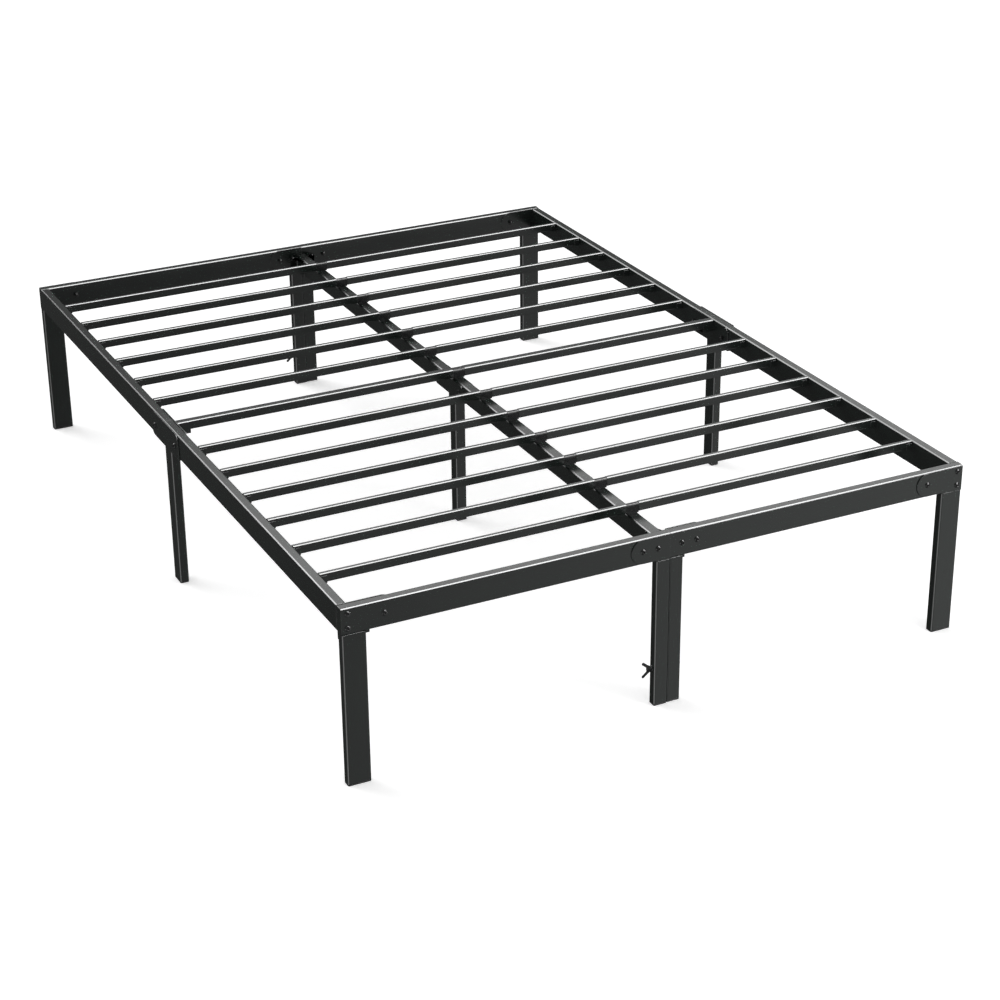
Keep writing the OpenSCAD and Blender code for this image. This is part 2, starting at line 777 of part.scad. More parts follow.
// The wings stand upright on the outer face of the left leg's washer.
module seated_wing_nut() {
    translate([-wing_face - washer_t, -leg_y, wing_z]) rotate([0, -90, 0]) wing_nut();
}

module wing_washer_foot() { color(steel) wing_washer(); }
module wing_washer_head() { color(steel) wing_head_place() wing_washer(); }
module wing_nut_foot() { color(black) seated_wing_nut(); }
module wing_nut_head() { color(black) wing_head_place() seated_wing_nut(); }

// Both wing nuts are on the left, so the head end's set is moved there and not turned.
module wing_head_place() {
    translate([0, 2 * leg_y, 0]) children();
}

foot_rail_left();
foot_rail_right();
head_rail_left();
head_rail_right();
side_rail_left_foot();
side_rail_left_head();
side_rail_right_foot();
side_rail_right_head();
centre_rail_foot();
centre_rail_head();
corner_leg_foot_left();
corner_leg_foot_right();
corner_leg_head_left();
corner_leg_head_right();
pair_leg_foot_left();
pair_leg_foot_right();
pair_leg_head_left();
pair_leg_head_right();
side_leg_left();
side_leg_right();
centre_leg();
corner_plates_outer();
corner_plates_inner();
centre_plates_outer();
centre_plates_inner();
rail_splice_left();
rail_splice_right();
rail_splice_centre();
end_bracket_foot();
end_bracket_head();
slat(1);  // slat_01
slat(2);  // slat_02
slat(3);  // slat_03
slat(4);  // slat_04
slat(5);  // slat_05
slat(6);  // slat_06
slat(7);  // slat_07
slat(8);  // slat_08
slat(9);  // slat_09
slat(10);  // slat_10
slat(11);  // slat_11
slat(12);  // slat_12
mid_bar_left();
mid_bar_right();
slat_joiners();
mid_bar_joiner();
slat_hooks_left();
slat_hooks_right();
mid_bar_cleats();
rail_bolts();
rail_nuts();
corner_nut_plates();
foot_caps();
wing_bolts();
wing_washer_foot();
wing_washer_head();
wing_nut_foot();
wing_nut_head();
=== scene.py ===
"""The looks of a bolt-together metal bed frame, built round its CAD parts.

Every piece but the threaded plates inside the side rails is a surface worked out in numpy, and takes
its place from the CAD solids that it stands for. Lengths are in metres. X runs across the bed, Y
towards its head, and Z up.
"""

import math

import bpy
import numpy as np
from mathutils import Matrix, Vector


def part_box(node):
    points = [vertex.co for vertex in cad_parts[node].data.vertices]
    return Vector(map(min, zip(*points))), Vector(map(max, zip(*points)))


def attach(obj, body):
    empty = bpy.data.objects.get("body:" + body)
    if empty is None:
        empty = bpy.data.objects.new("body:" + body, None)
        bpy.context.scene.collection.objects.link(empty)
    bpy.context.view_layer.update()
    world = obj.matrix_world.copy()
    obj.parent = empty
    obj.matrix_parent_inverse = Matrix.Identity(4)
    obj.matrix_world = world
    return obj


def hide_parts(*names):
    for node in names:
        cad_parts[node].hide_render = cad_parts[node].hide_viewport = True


bl_info = {
    "name": "Metal Bed Frame",
    "version": (1, 0, 0),
    "blender": (4, 5, 0),
    "location": "View3D > Sidebar > Bed Frame",
    "description": "Builds a bolt-together metal platform bed frame round its CAD parts",
    "category": "Object",
}

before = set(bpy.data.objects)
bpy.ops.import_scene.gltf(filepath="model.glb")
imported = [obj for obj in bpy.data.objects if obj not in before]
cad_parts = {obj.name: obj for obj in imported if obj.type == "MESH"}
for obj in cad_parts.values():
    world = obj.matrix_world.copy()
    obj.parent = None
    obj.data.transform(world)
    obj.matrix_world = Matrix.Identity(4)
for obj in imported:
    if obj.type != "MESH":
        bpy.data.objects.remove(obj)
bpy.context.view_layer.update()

MM = 0.001
X, Y, Z = 0, 1, 2
BEND_STEPS = 4  # points on each bend of a tube's corner
EDGE_STEPS = 4  # points on the turn of an edge
HOLD = 0.12 * MM  # distance of the extra point that keeps a flat side flat
SHARP_ANGLE = math.radians(38)

ENDS = ("foot", "head")
SIDES = ("left", "right")
END_RAILS = [f"{end}_rail_{side}" for end in ENDS for side in SIDES]
LONG_RAILS = [
    f"{rail}_{end}" for rail in ("side_rail_left", "side_rail_right", "centre_rail") for end in ENDS
]
LEGS = [
    *[f"{kind}_leg_{end}_{side}" for kind in ("corner", "pair") for end in ENDS for side in SIDES],
    "side_leg_left", "side_leg_right", "centre_leg",
]
SLATS = [f"slat_{row:02d}" for row in range(1, 13)]


# ---- sizes and finishes that a user may change ----


def length_property(name, description, default):
    """A length in metres that the sidebar shows in the scene's units."""
    return bpy.props.FloatProperty(
        name=name, description=description, default=default, min=0.0, max=0.1,
        precision=5, subtype="DISTANCE", unit="LENGTH",
    )


def share_property(name, description, default):
    """A share from none to all, shown as a slider."""
    return bpy.props.FloatProperty(
        name=name, description=description, default=default, min=0.0, max=1.0,
        subtype="FACTOR",
    )


def colour_property(name, description, default):
    """A colour in linear red, green and blue."""
    return bpy.props.FloatVectorProperty(
        name=name, description=description, default=default, min=0.0, max=1.0,
        size=3, subtype="COLOR",
    )


class BedFrameSizes(bpy.types.PropertyGroup):
    """Small sizes of the bed frame's edges, bends and fasteners."""

    rail_corner: length_property("Rail corner", "Radius of the rails' long corners", 2.4 * MM)
    leg_corner: length_property("Leg corner", "Radius of the legs' upright corners", 2.2 * MM)
    slat_corner: length_property("Slat corner", "Radius of the slats' long corners", 2.0 * MM)
    tube_wall: length_property("Tube wall", "Wall of the tubes", 1.5 * MM)
    cut_edge: length_property("Cut edge", "Radius of the tubes' edges where they are cut off", 0.5 * MM)
    sheet_edge: length_property("Sheet edge", "Radius of the edges of plates and brackets", 0.6 * MM)
    joiner_round: length_property("Joiner round", "Radius of the slat joiners' top edges", 4.2 * MM)
    cap_edge: length_property("Foot cap edge", "Radius of the foot caps' lower edges", 0.9 * MM)
    thread_pitch: length_property("Thread pitch", "Pitch of the wing bolts' threads", 1.0 * MM)


class BedFrameFinish(bpy.types.PropertyGroup):
    """Colours and gloss of the bed frame's finishes."""

    coat_colour: colour_property("Powder coat", "Colour of the coated steel", (0.0035, 0.0068, 0.0052))
    coat_roughness: share_property("Powder coat roughness", "Roughness of the coated steel", 0.24)
    coat_texture: share_property("Powder coat texture", "Strength of the coat's fine grain", 0.12)
    joiner_colour: colour_property("Joiner plastic", "Colour of the slat joiners", (0.0035, 0.004, 0.004))
    # The caps' own black plastic, set a little darker than the coat as painted shade at the foot of each
    # leg.
    cap_colour: colour_property("Foot cap plastic", "Colour of the foot caps", (0.003, 0.0032, 0.0032))
    bolt_colour: colour_property(
        "Bolt finish", "Colour of the blackened bolts and nuts", (0.006, 0.0065, 0.0065))
    washer_colour: colour_property("Washer finish", "Colour of the plated washers", (0.16, 0.16, 0.165))


# ---- surfaces ----


def unit(vectors):
    """Vectors over their lengths."""
    return vectors / np.linalg.norm(vectors, axis=-1, keepdims=True)


def round_rect(width, height, radius, inset=0.0):
    """The outline of a rectangle with pressed corners, anticlockwise and drawn in by inset.

    Each corner is a short flat at 45 degrees between two equal bends, as on rolled steel tube.
    """
    across, up = width / 2 - inset, height / 2 - inset
    cut = max(radius - (2 - math.sqrt(2)) * inset, 0.2 * MM)
    bend = 0.75 * cut
    quarter = [(across, up - cut), (across - cut, up)]
    corners = [
        *quarter, *[(-u, v) for u, v in quarter[::-1]],
        *[(-u, -v) for u, v in quarter], *[(u, -v) for u, v in quarter[::-1]],
    ]
    return outline([(u, v, bend) for u, v in corners], BEND_STEPS, 0.04 * cut)


def outline(corners, steps=5, hold=HOLD):
    """A flat outline from its corners (u, v, radius), taken anticlockwise.

    Each corner is cut off by an arc that touches both sides. The arc starts and ends at the radius
    over the tangent of half the corner's angle, and turns evenly from one touching point to the other.
    """
    corners = np.array(corners, float)
    point, radius = corners[:, :2], corners[:, 2:]
    back = unit(np.roll(point, 1, 0) - point)
    ahead = unit(np.roll(point, -1, 0) - point)
    half = 0.5 * np.arccos(np.clip(np.sum(back * ahead, axis=1, keepdims=True), -1, 1))
    middle = unit(back + ahead)
    reach = radius / np.tan(half)
    centre = point + middle * radius / np.sin(half)
    first = (point + back * reach - centre) / radius
    last = (point + ahead * reach - centre) / radius
    angle = (np.pi - 2 * half)[:, None]
    share = np.linspace(0.0, 1.0, steps)[None, :, None]
    arc = np.sin((1 - share) * angle) * first[:, None] + np.sin(share * angle) * last[:, None]
    arc = centre[:, None] + radius[:, None] * arc / np.sin(angle)
    before = arc[:, :1] + back[:, None] * hold
    after = arc[:, -1:] + ahead[:, None] * hold
    return np.concatenate([before, arc, after], axis=1).reshape(-1, 2)


def draw_in(line, inset):
    """An anticlockwise outline with every side moved inwards by inset.

    A corner moves by the sum of its two sides' inward normals over one plus their dot product.
    """
    side = unit(np.roll(line, -1, 0) - line)
    normal = np.column_stack([-side[:, 1], side[:, 0]])
    before = np.roll(normal, 1, 0)
    share = 1 + np.sum(normal * before, axis=1, keepdims=True)
    return line + inset * (normal + before) / share


def edge_path(low, high, edge):
    """Where a bar's skin goes from its low end to its high end, as (place, inset) pairs.

    At each end the skin turns a quarter circle: the place goes by one minus the cosine and the inset
    by one minus the sine of the turn, times the edge's radius.
    """
    turn = np.linspace(0.0, np.pi / 2, EDGE_STEPS)
    place = edge * (1 - np.cos(turn))
    inset = edge * (1 - np.sin(turn))
    place = np.concatenate([[0.0], place, [edge + HOLD]])
    inset = np.concatenate([[edge + HOLD], inset, [0.0]])
    start = np.column_stack([low + place, inset])
    end = np.column_stack([high - place, inset])[::-1]
    return np.vstack([start, end])


def along(line, place, axis):
    """A flat outline stood at a place on an axis. Its u and v are the other two axes in order."""
    ring = np.empty((len(line), 3))
    first, second = [i for i in (X, Y, Z) if i != axis]
    ring[:, first] = line[:, 0]
    ring[:, second] = line[:, 1]
    ring[:, axis] = place
    return ring[::-1] if axis == Y else ring


def skin(rings, capped=True, closed=False):
    """The skin over a stack of rings: (points, quads, caps). Quads join each ring to the next."""
    rings = np.asarray(rings)
    count, around = rings.shape[:2]
    index = np.arange(count * around).reshape(count, around)
    caps = [index[0][::-1].tolist(), index[-1].tolist()] if capped else []
    if closed:
        index = np.vstack([index, index[:1]])
    quads = np.stack([
        index[:-1], np.roll(index[:-1], -1, 1), np.roll(index[1:], -1, 1), index[1:],
    ], axis=-1).reshape(-1, 4)
    return rings.reshape(-1, 3), quads, caps


def carried(low, high, axis, corner, path, **ends):
    """A box's round section carried along an axis, through a path's (place, inset) pairs."""
    across = [i for i in (X, Y, Z) if i != axis]
    low, high = np.array(low)[across], np.array(high)[across]
    size, middle = high - low, (high + low) / 2
    return skin([
        along(round_rect(*size, corner, inset) + middle, place, axis) for place, inset in path
    ], **ends)


def bar(low, high, axis, corner, edge):
    """A closed bar that fills a box: a round rectangle carried along an axis, its ends turned in."""
    return carried(low, high, axis, corner, edge_path(low[axis], high[axis], edge))


def tube(low, high, axis, corner, wall, edge):
    """An open tube that fills a box. Its skin runs along the outside and comes back along the bore."""
    path = np.vstack([
        [low[axis], wall], edge_path(low[axis], high[axis], edge)[1:-1], [high[axis], wall],
    ])
    return carried(low, high, axis, corner, path, capped=False, closed=True)


def sheet_metal(line, low, high, axis, edge):
    """A flat sheet with any outline, from low to high on an axis, with its edges turned."""
    return skin([
        along(draw_in(line, inset) if inset else line, place, axis)
        for place, inset in edge_path(low, high, edge)
    ])


def full_turn(around):
    """That many angles, evenly spread over one turn."""
    return np.linspace(0.0, 2 * np.pi, around, endpoint=False)


def turned(radius, angle, height):
    """Rings about local Z: X is the radius times the angle's cosine and Y times its sine."""
    return np.stack([
        radius * np.cos(angle), radius * np.sin(angle), np.broadcast_to(height, radius.shape),
    ], axis=-1)


def off_flat(angle):
    """A hexagon's radius over that of its flats: one over the cosine of the angle off a flat."""
    return 1 / np.cos(np.mod(angle, np.pi / 3) - np.pi / 6)


def spun(path, around=36, closed=False):
    """A shape spun about local Z from (radius, height, hexagon) steps.

    A step's radius is to the flats of a hexagon where hexagon is 1, and to a circle where it is 0:
    the radius is mixed with the radius over the cosine of the angle from the middle of the flat.
    """
    path = np.array(path, float)
    angle = full_turn(around)
    radius = path[:, :1] * (1 - path[:, 2:] + path[:, 2:] * off_flat(angle))
    return skin(turned(radius, angle, path[:, 1:2]), capped=not closed, closed=closed)


def placed(shell, origin, up, side):
    """A shell moved so that its local Z points along up and its local X along side."""
    points, quads, caps = shell
    up, side = np.array(up, float), np.array(side, float)
    turn = np.column_stack([side, np.cross(up, side), up])
    return points @ turn.T + np.array(origin), quads, caps


def half_turned(shell):
    """A shell turned half a turn about Z."""
    points, quads, caps = shell
    return points * (-1, -1, 1), quads, caps


def solid_boxes(node):
    """The (low, high) corners of each separate solid in a CAD node, in order of place.

    Points at one place are merged. Every point then takes the lowest label found in its triangles,
    again and again, until each solid has one label.
    """
    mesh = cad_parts[node].data
    place = np.empty(len(mesh.vertices) * 3, np.float32)
    mesh.vertices.foreach_get("co", place)
    place = place.reshape(-1, 3).astype(float)
    corner = np.empty(len(mesh.loops), np.int32)
    mesh.loops.foreach_get("vertex_index", corner)
    _, same = np.unique(np.round(place, 6), axis=0, return_inverse=True)
    same = same.ravel()
    triangle = same[corner].reshape(-1, 3)
    label = np.arange(same.max() + 1)
    while True:
        lowest = label[triangle].min(axis=1)
        spread = label.copy()
        np.minimum.at(spread, triangle.ravel(), np.repeat(lowest, 3))
        spread = spread[spread]
        if np.array_equal(spread, label):
            break
        label = spread
    of_point = label[same]
    boxes = [(place[of_point == k].min(0), place[of_point == k].max(0)) for k in np.unique(label)]
    return sorted(boxes, key=lambda box: tuple(np.round(box[0] + box[1], 4)))


def add_piece(name, shells, node, body, material):
    """Joins shells into one object at the origin, rides it on a body and stands it for a CAD node."""
    points, faces, count = [], [], 0
    for place, quads, caps in shells:
        points.append(place)
        faces += (quads + count).tolist()
        faces += [[i + count for i in cap] for cap in caps]
        count += len(place)
    mesh = bpy.data.meshes.new(name)
    mesh.from_pydata(np.vstack(points).tolist(), [], faces)
    mesh.validate()
    mesh.shade_smooth()
    mesh.set_sharp_from_angle(angle=SHARP_ANGLE)
    mesh.materials.append(material)
    piece = bpy.data.objects.new(name, mesh)
    bpy.context.scene.collection.objects.link(piece)
    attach(piece, body)
    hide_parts(node)


def corners_of(node):
    """A CAD node's lowest and highest corners as arrays."""
    low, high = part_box(node)
    return np.array(low), np.array(high)


# ---- finishes ----

NOISE_RANGE = (0.3, 0.7)  # where nearly all of a noise's values lie


def start_material(name):
    """A new material with its node tree, its surface shader and an object-space position."""
    material = bpy.data.materials.new(f"{name}_finish")
    material.use_nodes = True
    tree = material.node_tree
    shader = tree.nodes["Principled BSDF"]
    place = tree.nodes.new("ShaderNodeTexCoord").outputs["Object"]
    return material, tree, shader, place


def noise(tree, place, scale, detail, roughness):
    """Noise in space, about one over scale metres from one lump to the next."""
    node = tree.nodes.new("ShaderNodeTexNoise")
    node.inputs["Scale"].default_value = scale
    node.inputs["Detail"].default_value = detail
    node.inputs["Roughness"].default_value = roughness
    tree.links.new(place, node.inputs["Vector"])
    return node.outputs["Fac"]


def remap(tree, value, low, high, to_low, to_high):
    """A value stretched from one range onto another."""
    node = tree.nodes.new("ShaderNodeMapRange")
    for key, number in zip(("From Min", "From Max", "To Min", "To Max"),
                           (low, high, to_low, to_high)):
        node.inputs[key].default_value = number
    tree.links.new(value, node.inputs["Value"])
    return node.outputs["Result"]


def tint(tree, share, dark, light):
    """A colour between two, by a share."""
    node = tree.nodes.new("ShaderNodeMix")
    node.data_type = "RGBA"
    node.inputs["A"].default_value = (*dark, 1.0)
    node.inputs["B"].default_value = (*light, 1.0)
    tree.links.new(share, node.inputs["Factor"])
    return node.outputs["Result"]


def add_bump(tree, shader, heights):
    """Stacks bumps, each a (height, strength, distance), on a shader's normal."""
    normal = None
    for height, strength, distance in heights:
        node = tree.nodes.new("ShaderNodeBump")
        node.inputs["Strength"].default_value = strength
        node.inputs["Distance"].default_value = distance
        tree.links.new(height, node.inputs["Height"])
        if normal is not None:
            tree.links.new(normal, node.inputs["Normal"])
        normal = node.outputs["Normal"]
    tree.links.new(normal, shader.inputs["Normal"])


def vary_tone(tree, shader, value, span, colour, dark, light):
    """Lets a value's span vary a shader's base colour, from dark to light times a colour."""
    share = remap(tree, value, *span, 0.0, 1.0)
    first, last = ([min(c * part, 1.0) for c in colour] for part in (dark, light))
    tree.links.new(tint(tree, share, first, last), shader.inputs["Base Color"])


def vary_gloss(tree, shader, value, smooth, rough):
    """Lets a noise vary a shader's roughness between two values."""
    tree.links.new(remap(tree, value, *NOISE_RANGE, smooth, rough), shader.inputs["Roughness"])


def powder_coat(finish):
    """Satin black powder coat: orange-peel grain about 1 mm across, slight clouding of tone and gloss."""
    material, tree, shader, place = start_material("powder_coat")
    clouds = noise(tree, place, 9.0, 4.0, 0.6)
    peel = noise(tree, place, 520.0, 1.0, 0.4)
    grain = noise(tree, place, 1600.0, 2.0, 0.6)
    vary_tone(tree, shader, clouds, NOISE_RANGE, finish.coat_colour, 0.86, 1.14)
    vary_gloss(tree, shader, clouds, finish.coat_roughness - 0.03, finish.coat_roughness + 0.03)
    shader.inputs["Specular IOR Level"].default_value = 1.0
    add_bump(tree, shader, [
        (peel, finish.coat_texture, 0.12 * MM), (grain, finish.coat_texture, 0.05 * MM),
    ])
    return material


def moulded_plastic(name, colour, roughness, pits_per_metre):
    """Moulded plastic: a stipple of round pits, with painted shade in the pits and painted light on the
    ridges between them.
    """
    stipple = 0.2
    material, tree, shader, place = start_material(name)
    pits = tree.nodes.new("ShaderNodeTexVoronoi")
    pits.inputs["Scale"].default_value = pits_per_metre
    tree.links.new(place, pits.inputs["Vector"])
    pit = pits.outputs["Distance"]
    fine = noise(tree, place, pits_per_metre * 2.6, 2.0, 0.6)
    # Painted shade and light: the tone is darker at the bottom of each pit and lighter on the ridges
    # between pits.
    vary_tone(tree, shader, pit, (0.0, 0.8), colour, 0.8, 1.3)
    vary_gloss(tree, shader, fine, roughness - 0.06, roughness + 0.06)
    add_bump(tree, shader, [(pit, stipple, 0.3 * MM), (fine, stipple * 0.5, 0.08 * MM)])
    return material


def black_hardware(finish):
    """Blackened, lightly oiled steel: near-black with fine mottling and a tight gloss."""
    material, tree, shader, place = start_material("black_hardware")
    mottle = noise(tree, place, 700.0, 3.0, 0.6)
    vary_tone(tree, shader, mottle, NOISE_RANGE, finish.bolt_colour, 0.7, 1.4)
    vary_gloss(tree, shader, mottle, 0.14, 0.24)
    shader.inputs["Specular IOR Level"].default_value = 0.8
    add_bump(tree, shader, [(mottle, 0.15, 0.05 * MM)])
    return material


def plated_steel(finish):
    """Dark plated steel: metal with fine random scratches."""
    material, tree, shader, place = start_material("plated_steel")
    stretch = tree.nodes.new("ShaderNodeMapping")
    stretch.inputs["Scale"].default_value = (1.0, 0.15, 0.15)
    tree.links.new(place, stretch.inputs["Vector"])
    scratch = noise(tree, stretch.outputs["Vector"], 4000.0, 2.0, 0.7)
    vary_tone(tree, shader, scratch, NOISE_RANGE, finish.washer_colour, 0.8, 1.2)
    vary_gloss(tree, shader, scratch, 0.28, 0.42)
    shader.inputs["Metallic"].default_value = 1.0
    add_bump(tree, shader, [(scratch, 0.1, 0.03 * MM)])
    return material


def joiner_plastic(finish):
    """The slat joiners' satin plastic."""
    return moulded_plastic("joiner_plastic", finish.joiner_colour, 0.28, 900.0)


def cap_plastic(finish):
    """The foot caps' matt black plastic, its colour set darker than the coat as painted shade at the foot
    of each leg.
    """
    return moulded_plastic("cap_plastic", finish.cap_colour, 0.5, 1400.0)


FINISHES = {
    "powder_coat": powder_coat, "joiner_plastic": joiner_plastic, "cap_plastic": cap_plastic,
    "black_hardware": black_hardware, "plated_steel": plated_steel,
}


def finish_named(name, finish):
    """The finish of that name, made when it is first asked for."""
    return bpy.data.materials.get(f"{name}_finish") or FINISHES[name](finish)


# ---- the pieces ----


class PieceOperator:
    """What every operator that makes pieces shares: its sizes, its finishes and how it ends."""

    bl_options = {"REGISTER", "UNDO"}

    def execute(self, context):
        """Makes the pieces and ends."""
        self.sizes = context.scene.bed_frame_sizes
        self.finish = context.scene.bed_frame_finish
        self.make()
        return {"FINISHED"}

    def add(self, name, shells, node, slot="powder_coat", body="frame"):
        """Adds one piece, which stands for a CAD node, in the finish of its slot."""
        add_piece(name, shells, node, body, finish_named(slot, self.finish))

    def add_tubes(self, nodes, axis, corner):
        """Adds an open tube along an axis for each node."""
        for node in nodes:
            shell = tube(*corners_of(node), axis, corner, self.sizes.tube_wall, self.sizes.cut_edge)
            self.add(node + "_tube", [shell], node)


class BEDFRAME_OT_rails(PieceOperator, bpy.types.Operator):
    """Makes the foot, head, side and centre rails from rectangular tube"""

    bl_idname = "bedframe.rails"
    bl_label = "Rails"

    def make(self):
        """The foot and head rails are closed at their ends, and the others are open tubes."""
        s = self.sizes
        for node in END_RAILS:
            low, high = corners_of(node)
            shell = bar(low, high, X, s.rail_corner, s.cut_edge)
            self.add(node.replace("_rail", "_end_rail"), [shell], node)
        self.add_tubes(LONG_RAILS, Y, s.rail_corner)


class BEDFRAME_OT_legs(PieceOperator, bpy.types.Operator):
    """Makes the legs from rectangular tube"""

    bl_idname = "bedframe.legs"
    bl_label = "Legs"

    def make(self):
        """Each leg is an upright open tube over its foot cap."""
        self.add_tubes(LEGS, Z, self.sizes.leg_corner)


class BEDFRAME_OT_slats(PieceOperator, bpy.types.Operator):
    """Makes the rows of slats and the cross bar in the middle of the bed"""

    bl_idname = "bedframe.slats"
    bl_label = "Slats"

    def make(self):
        """Each slat row has a left and a right tube, and so has the cross bar."""
        s = self.sizes
        for node in [*SLATS, "mid_bar_left", "mid_bar_right"]:
            shells = [
                tube(low, high, X, s.slat_corner, s.tube_wall, s.cut_edge)
                for low, high in solid_boxes(node)
            ]
            self.add(node + "_tubes", shells, node)


def leg_plate(low, high, tail, drop, edge):
    """A leg plate that fills a box: an outline in X and Z with a round end, as thick as the box.

    The leg side is the box's end at the tail, tail metres wide. The plate's body ends at a round end
    about its bolt, drop metres below the box's top, and reaches as far below the bolt as above it.
    """
    corner_plate = min(abs(low[X]), abs(high[X])) > tail
    leg_at_low = (low[X] < 0) == corner_plate
    length = high[X] - low[X]
    under = high[Z] - 2 * drop
    small, rounding = 0.9 * MM, drop - 2 * HOLD
    least_tab, straight_share, lean = 4 * MM, 0.7, 1.5 * MM
    tab = [(tail, low[Z], small)]
    if under - low[Z] > least_tab:
        tab.append((tail, low[Z] + straight_share * (under - low[Z]), small))
    corners = np.array([
        (0.0, low[Z], small), *tab, (tail + lean, under, small),
        (length, under, rounding), (length, high[Z], rounding), (0.0, high[Z], small),
    ])
    if leg_at_low:
        corners[:, 0] += low[X]
    else:
        corners[:, 0] = high[X] - corners[:, 0]
        corners = corners[::-1]
    return sheet_metal(outline(corners, 12), low[Y], high[Y], Y, edge)


class BEDFRAME_OT_leg_plates(PieceOperator, bpy.types.Operator):
    """Makes the flat plates that join the legs to the foot and head rails"""

    bl_idname = "bedframe.leg_plates"
    bl_label = "Leg plates"

    inner_margin = 15 * MM
    bolt_drop = 27 * MM

    def make(self):
        """An inner plate's tail is wider than its leg, and an outer plate's is as wide."""
        rail_top = corners_of("foot_rail_left")[1][Z]
        for legs, prefix in (("corner_leg_foot_left", "corner"), ("pair_leg_foot_left", "centre")):
            low, high = corners_of(legs)
            leg_width = high[X] - low[X]
            for face, margin in (("outer", 0.0), ("inner", self.inner_margin)):
                node = f"{prefix}_plates_{face}"
                shells = []
                for low, high in solid_boxes(node):
                    drop = self.bolt_drop - (rail_top - high[Z])
                    shells.append(
                        leg_plate(low, high, leg_width + margin, drop, self.sizes.sheet_edge))
                self.add(node + "_sheet", shells, node)


def cheek(y_low, y_high, z_low, z_high, x_low, x_high, round_end, edge):
    """A rail bracket's cheek: a sheet in Y and Z, bevelled at the foot end and round at the head end."""
    bevel, blunt = 12 * MM, 3 * MM
    line = outline([
        (y_low, z_low, MM), (y_high, z_low, round_end), (y_high, z_high, round_end),
        (y_low + bevel, z_high, blunt), (y_low, z_high - bevel, blunt),
    ], 12)
    return sheet_metal(line, x_low, x_high, X, edge)


class BEDFRAME_OT_rail_brackets(PieceOperator, bpy.types.Operator):
    """Makes the brackets that wrap the joints of the side rails and of the centre rail"""

    bl_idname = "bedframe.rail_brackets"
    bl_label = "Rail brackets"

    sheet = 2 * MM
    side_round = 24 * MM
    centre_round = 13 * MM
    tab_length = 9 * MM

    def make(self):
        """Each bracket is two cheeks and a floor. The centre one has tabs over its leg as well."""
        edge = self.sizes.sheet_edge
        for node in ("rail_splice_left", "rail_splice_right", "rail_splice_centre"):
            low, high = corners_of(node)
            centre = node.endswith("centre")
            rounding = self.centre_round if centre else self.side_round
            floor = low[Z] + (self.tab_length if centre else 0.0)
            shells = [
                cheek(low[Y], high[Y], floor, high[Z], x, x + self.sheet, rounding, edge)
                for x in (low[X], high[X] - self.sheet)
            ]
            shells.append(bar(
                (low[X] + self.sheet, low[Y], floor),
                (high[X] - self.sheet, high[Y] - rounding, floor + self.sheet), Y, 0.3 * MM, edge))
            if centre:
                leg_low, leg_high = corners_of("centre_leg")
                shells += [
                    bar((x, leg_low[Y], low[Z]), (x + self.sheet, leg_high[Y], floor + self.sheet),
                        Z, edge, edge)
                    for x in (low[X], high[X] - self.sheet)
                ]
            self.add(node + "_bracket", shells, node)


class BEDFRAME_OT_end_brackets(PieceOperator, bpy.types.Operator):
    """Makes the brackets that carry the ends of the centre rail"""

    bl_idname = "bedframe.end_brackets"
    bl_label = "End brackets"

    sheet = 2 * MM
    bend = 2.8 * MM

    def make(self):
        """Each side is one sheet bent at a right angle, from a flange to a cheek, over a floor."""
        edge = self.sizes.sheet_edge
        low, high = corners_of("end_bracket_foot")
        rail_low, rail_high = corners_of("centre_rail_foot")
        flange_low = corners_of("foot_rail_left")[0][Z]
        sheet = self.sheet
        shells = []
        for side, y in ((-1, low[Y]), (1, low[Y] + sheet)):
            inner = rail_high[X]
            corners = np.array([
                (inner, y, self.bend), (high[X], y, 0.3 * MM), (high[X], y + sheet, 0.3 * MM),
                (inner + sheet, y + sheet, MM), (inner + sheet, high[Y], 0.3 * MM),
                (inner, high[Y], 0.3 * MM),
            ])
            if side < 0:
                corners[:, 0] *= -1
                corners = corners[::-1]
            shells.append(sheet_metal(outline(corners), flange_low, high[Z], Z, edge))
            skirt = sorted((side * inner, side * (inner + sheet)))
            shells.append(bar((skirt[0], y + self.bend, low[Z]),
                              (skirt[1], high[Y], flange_low + MM), Z, edge, edge))
        shells.append(bar((rail_low[X], low[Y] + sheet, low[Z]),
                          (rail_high[X], high[Y], low[Z] + sheet), Y, 0.3 * MM, edge))
        self.add("end_bracket_foot_sheet", shells, "end_bracket_foot")
        self.add("end_bracket_head_sheet", [half_turned(s) for s in shells], "end_bracket_head")


class BEDFRAME_OT_slat_hooks(PieceOperator, bpy.types.Operator):
    """Makes the bent hooks that hold the slats and the cleats that hold the cross bar"""

    bl_idname = "bedframe.slat_hooks"
    bl_label = "Slat hooks"

    sheet = 1.5 * MM
    bend = 2.4 * MM
    tip = 0.35 * MM
    skirt = 6 * MM

    def hook(self, y0, z0, y1, z1):
        """A strip bent into a U."""
        t, bend, tip = self.sheet, self.bend, self.tip
        return outline([
            (y0, z1, tip), (y0, z0, bend), (y1, z0, bend), (y1, z1, tip), (y1 - t, z1, tip),
            (y1 - t, z0 + t, bend - t), (y0 + t, z0 + t, bend - t), (y0 + t, z1, tip),
        ])

    def cleat(self, y0, z0, y1, z1):
        """A U with a skirt under its floor."""
        t, tip, floor = self.sheet, self.tip, z0 + self.skirt
        return outline([
            (y0, z1, tip), (y0, z0, tip), (y0 + t, z0, tip), (y0 + t, floor, tip),
            (y1 - t, floor, tip), (y1 - t, z0, tip), (y1, z0, tip), (y1, z1, tip),
            (y1 - t, z1, tip), (y1 - t, floor + t, tip), (y0 + t, floor + t, tip),
            (y0 + t, z1, tip),
        ])

    def make(self):
        """Each is one strip as wide as its box in X."""
        for node, strip in (("slat_hooks_left", self.hook), ("slat_hooks_right", self.hook),
                            ("mid_bar_cleats", self.cleat)):
            shells = [
                sheet_metal(strip(*low[1:], *high[1:]), low[X], high[X], X, self.tip)
                for low, high in solid_boxes(node)
            ]
            self.add(node + "_strips", shells, node)


